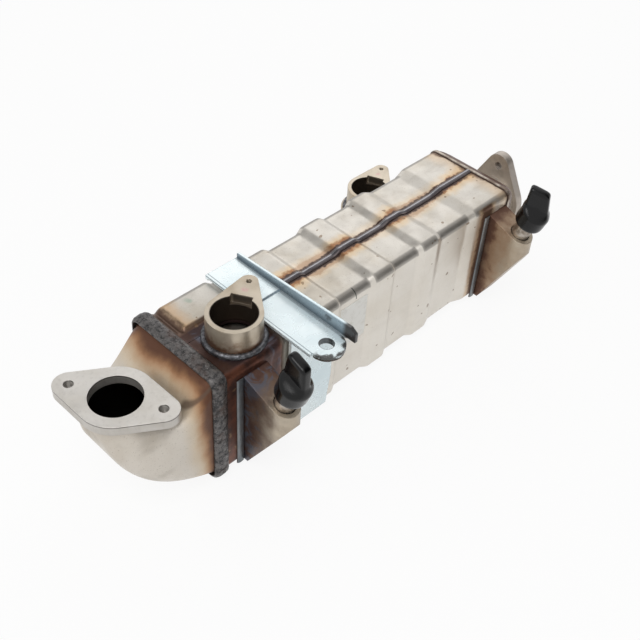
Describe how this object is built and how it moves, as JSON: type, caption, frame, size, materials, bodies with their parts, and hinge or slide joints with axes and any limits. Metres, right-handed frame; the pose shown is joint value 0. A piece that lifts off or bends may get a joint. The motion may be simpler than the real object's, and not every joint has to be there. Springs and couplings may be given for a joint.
{
  "type": "egr cooler",
  "caption": "Exhaust gas cooler: a ribbed welded shell round flat gas tubes, with an elbow inlet, flanges, coolant spigots, capped vents and a bolt-on bracket.",
  "frame": {"origin": "centre of the front gas flange's face", "axes": "+Z out of the front gas flange, +X along the shell towards the rear gas flange, +Y towards the side of the rear coolant spigot"},
  "size_m": [0.5219, 0.2476, 0.1581],
  "materials": {
    "shell_steel": "dull stamped stainless sheet",
    "duct_steel": "dull stainless with weld heat tint",
    "flange_steel": "machined stainless face",
    "weld_steel": "rough dark weld bead",
    "seam_steel": "smooth dark laser weld",
    "port_steel": "turned stainless",
    "hood_steel": "stainless sheet, brown from welding",
    "cap_rubber": "soft black protective cap",
    "bracket_zinc": "bright zinc plated sheet",
    "bundle_steel": "brazed stainless tube bundle",
    "label_paper": "matt white film"
  },
  "bodies": {
    "root": {"baffle_front": "bundle_steel", "baffle_rear": "bundle_steel", "bracket_leg": "bracket_zinc", "bracket_plate": "bracket_zinc", "bracket_weld": "weld_steel", "coolant_port_front": "port_steel", "coolant_port_front_weld": "weld_steel", "coolant_port_rear": "port_steel", "coolant_port_rear_hood": "hood_steel", "coolant_port_rear_weld": "weld_steel", "data_label": "label_paper", "front_diffuser": "duct_steel", "front_flange": "flange_steel", "front_shell_weld": "weld_steel", "gas_tube_01": "bundle_steel", "gas_tube_02": "bundle_steel", "gas_tube_03": "bundle_steel", "gas_tube_04": "bundle_steel", "gas_tube_05": "bundle_steel", "gas_tube_06": "bundle_steel", "gas_tube_07": "bundle_steel", "gas_tube_08": "bundle_steel", "rear_diffuser": "duct_steel", "rear_flange": "flange_steel", "rear_shell_weld": "weld_steel", "seam_weld_bottom": "seam_steel", "seam_weld_top": "seam_steel", "shell_half_left": "shell_steel", "shell_half_right": "shell_steel", "tube_fin_01": "bundle_steel", "tube_fin_02": "bundle_steel", "tube_fin_03": "bundle_steel", "tube_fin_04": "bundle_steel", "tube_fin_05": "bundle_steel", "tube_fin_06": "bundle_steel", "tube_fin_07": "bundle_steel", "tube_fin_08": "bundle_steel", "tube_plate_front": "bundle_steel", "tube_plate_rear": "bundle_steel", "vent_cap_front": "cap_rubber", "vent_cap_rear": "cap_rubber", "vent_hood_front": "hood_steel", "vent_hood_rear": "hood_steel", "vent_nipple_front": "port_steel", "vent_nipple_rear": "port_steel", "vent_weld_front": "weld_steel", "vent_weld_rear": "weld_steel"}
  },
  "joints": []
}
